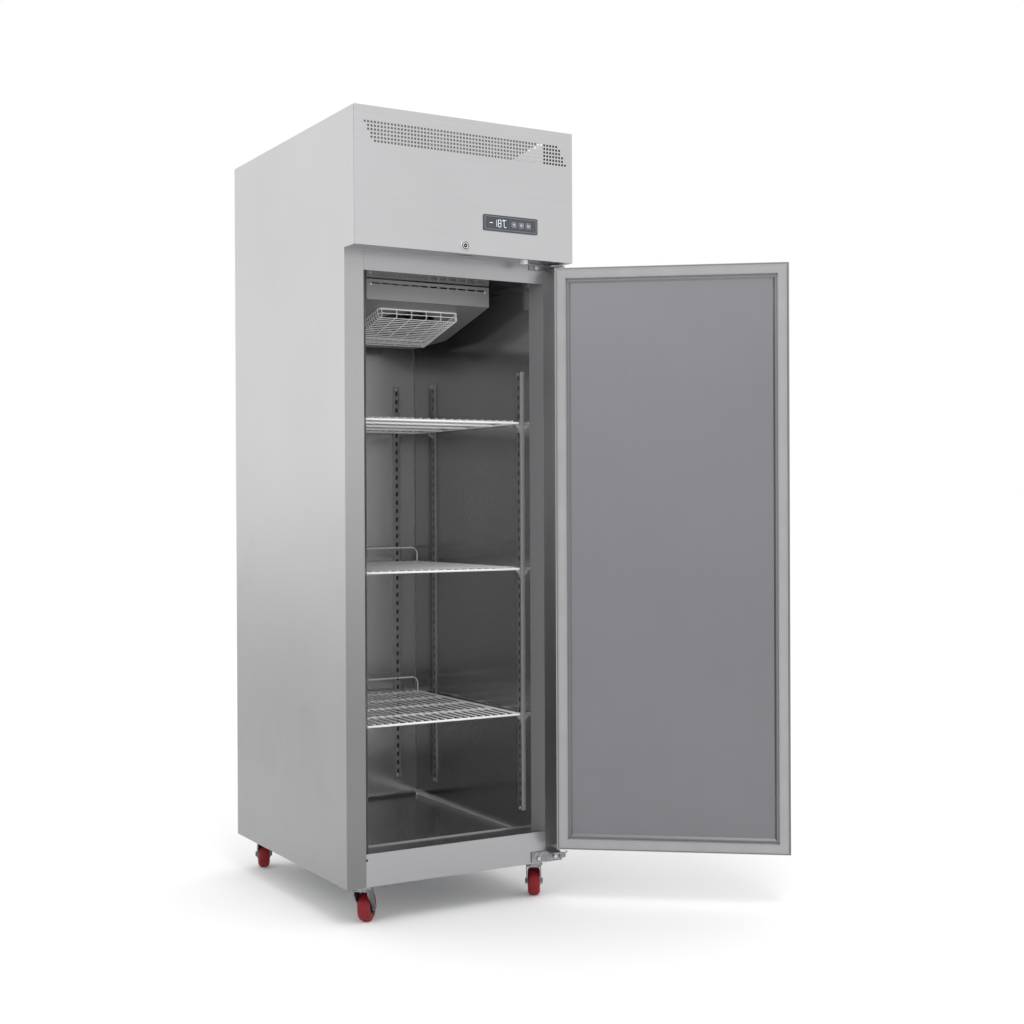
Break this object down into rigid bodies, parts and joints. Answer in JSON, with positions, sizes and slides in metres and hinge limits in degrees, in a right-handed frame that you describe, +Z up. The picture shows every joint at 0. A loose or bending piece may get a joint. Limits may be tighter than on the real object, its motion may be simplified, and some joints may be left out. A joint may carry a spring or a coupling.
{
  "type": "upright commercial freezer cabinet",
  "caption": "Upright steel freezer on swivel casters, insulated door standing open, wire shelves, controls and vent grid in a hood over the door",
  "frame": {"origin": "on the floor, under the middle of the space that the freezer takes up with its door standing open as in the picture", "axes": "X to the right seen from the front, Y to the back, Z up"},
  "size_m": [1.0772, 1.1972, 2],
  "materials": {
    "cabinet_steel": "satin",
    "lining_steel": "satin",
    "galvanised": "satin",
    "foam": "matte",
    "grey_plastic": "satin",
    "shelf_wire": "satin",
    "housing_aluminium": "satin",
    "fin_aluminium": "matte",
    "black_plastic": "satin",
    "white_plastic": "gloss",
    "bright_metal": "polished",
    "gasket_rubber": "matte",
    "black_paint": "satin",
    "black_rubber": "matte",
    "copper": "satin",
    "red_tyre": "matte"
  },
  "bodies": {
    "cabinet": {"back_panel": "galvanised", "base_panel": "galvanised", "breaker_strips": "grey_plastic", "cable_gland": "black_plastic", "canopy": "cabinet_steel", "caster_plates": "galvanised", "compressor": "black_paint", "compressor_feet": "black_rubber", "condenser": "fin_aluminium", "control_box": "galvanised", "door_switch": "white_plastic", "drain_pipe": "grey_plastic", "evaporator_coil": "fin_aluminium", "evaporator_cover": "housing_aluminium", "fan_guard": "shelf_wire", "fan_motors": "galvanised", "floor_pan": "lining_steel", "header_panel": "cabinet_steel", "hinge_bolts": "bright_metal", "hinge_brackets": "bright_metal", "insulation": "foam", "kick_panel": "cabinet_steel", "liner": "lining_steel", "machine_tray": "galvanised", "pilasters": "lining_steel", "refrigerant_pipes": "copper", "shelf_clips": "lining_steel", "side_panel_left": "cabinet_steel", "side_panel_right": "cabinet_steel"},
    "door": {"door_skin": "cabinet_steel", "door_liner": "lining_steel", "door_foam": "foam", "door_gasket": "gasket_rubber", "door_grip": "black_plastic", "door_fittings": "bright_metal"},
    "fascia": {"fascia_panel": "cabinet_steel", "controller": "black_plastic", "lock_body": "bright_metal"},
    "lock_tongue": {"lock_cam": "bright_metal"},
    "evaporator_fan": {"evaporator_fan": "black_plastic"},
    "condenser_fan": {"condenser_fan": "black_plastic"},
    "key_1": {"key_1": "grey_plastic"},
    "key_2": {"key_2": "grey_plastic"},
    "key_3": {"key_3": "grey_plastic"},
    "shelf_lower": {"shelf_lower": "shelf_wire"},
    "shelf_middle": {"shelf_middle": "shelf_wire"},
    "shelf_upper": {"shelf_upper": "shelf_wire"},
    "swivel_front_left": {"fork_front_left": "galvanised"},
    "wheel_front_left": {"hub_front_left": "black_plastic", "tyre_front_left": "red_tyre"},
    "swivel_front_right": {"fork_front_right": "galvanised"},
    "wheel_front_right": {"hub_front_right": "black_plastic", "tyre_front_right": "red_tyre"},
    "swivel_rear_left": {"fork_rear_left": "galvanised"},
    "wheel_rear_left": {"hub_rear_left": "black_plastic", "tyre_rear_left": "red_tyre"},
    "swivel_rear_right": {"fork_rear_right": "galvanised"},
    "wheel_rear_right": {"hub_rear_right": "black_plastic", "tyre_rear_right": "red_tyre"}
  },
  "joints": [
    {"name": "door_hinge", "type": "hinge", "parent": "cabinet", "child": "door", "pos_m": [0.0604, -0.21159, 0.896], "axis": [0, 0, 1], "range_deg": [-141.6, 23.4]},
    {"name": "fascia_hinge", "type": "hinge", "parent": "cabinet", "child": "fascia", "pos_m": [-0.2286, -0.23759, 1.998], "axis": [-1, 0, 0], "range_deg": [0, 80]},
    {"name": "lock_turn", "type": "hinge", "parent": "fascia", "child": "lock_tongue", "pos_m": [-0.2366, -0.21759, 1.684], "axis": [0, 1, 0], "range_deg": [0, 90]},
    {"name": "key_1_press", "type": "slide", "parent": "fascia", "child": "key_1", "axis": [0, 1, 0], "range_m": [0, 0.0006], "stiffness_N_per_m": 400, "springref_m": -0.0004},
    {"name": "key_2_press", "type": "slide", "parent": "fascia", "child": "key_2", "axis": [0, 1, 0], "range_m": [0, 0.0006], "stiffness_N_per_m": 400, "springref_m": -0.0004},
    {"name": "key_3_press", "type": "slide", "parent": "fascia", "child": "key_3", "axis": [0, 1, 0], "range_m": [0, 0.0006], "stiffness_N_per_m": 400, "springref_m": -0.0004},
    {"name": "shelf_lower_lift", "type": "slide", "parent": "cabinet", "child": "shelf_lower", "axis": [0, 0, 1], "range_m": [0, 0.02]},
    {"name": "shelf_middle_lift", "type": "slide", "parent": "cabinet", "child": "shelf_middle", "axis": [0, 0, 1], "range_m": [0, 0.02]},
    {"name": "shelf_upper_lift", "type": "slide", "parent": "cabinet", "child": "shelf_upper", "axis": [0, 0, 1], "range_m": [0, 0.02]},
    {"name": "evaporator_fan_spin", "type": "hinge", "parent": "cabinet", "child": "evaporator_fan", "pos_m": [-0.2336, 0.12434, 1.52957], "axis": [0, -0.2564, -0.9666], "continuous": true},
    {"name": "condenser_fan_spin", "type": "hinge", "parent": "cabinet", "child": "condenser_fan", "pos_m": [-0.1186, -0.03059, 1.82], "axis": [0, -1, 0], "continuous": true},
    {"name": "swivel_front_left_turn", "type": "hinge", "parent": "cabinet", "child": "swivel_front_left", "pos_m": [-0.4756, -0.13659, 0.088], "axis": [0, 0, 1], "continuous": true},
    {"name": "wheel_front_left_spin", "type": "hinge", "parent": "swivel_front_left", "child": "wheel_front_left", "pos_m": [-0.45687, -0.11578, 0.0375], "axis": [-0.7431, 0.6691, 0], "continuous": true},
    {"name": "swivel_front_right_turn", "type": "hinge", "parent": "cabinet", "child": "swivel_front_right", "pos_m": [0.0184, -0.13659, 0.088], "axis": [0, 0, 1], "continuous": true},
    {"name": "wheel_front_right_spin", "type": "hinge", "parent": "swivel_front_right", "child": "wheel_front_right", "pos_m": [0.03324, -0.11284, 0.0375], "axis": [-0.848, 0.5299, 0], "continuous": true},
    {"name": "swivel_rear_left_turn", "type": "hinge", "parent": "cabinet", "child": "swivel_rear_left", "pos_m": [-0.4756, 0.53441, 0.088], "axis": [0, 0, 1], "continuous": true},
    {"name": "wheel_rear_left_spin", "type": "hinge", "parent": "swivel_rear_left", "child": "wheel_rear_left", "pos_m": [-0.46695, 0.56104, 0.0375], "axis": [-0.9511, 0.309, 0], "continuous": true},
    {"name": "swivel_rear_right_turn", "type": "hinge", "parent": "cabinet", "child": "swivel_rear_right", "pos_m": [0.0184, 0.53441, 0.088], "axis": [0, 0, 1], "continuous": true},
    {"name": "wheel_rear_right_spin", "type": "hinge", "parent": "swivel_rear_right", "child": "wheel_rear_right", "pos_m": [0.0324, 0.55866, 0.0375], "axis": [-0.866, 0.5, 0], "continuous": true}
  ]
}
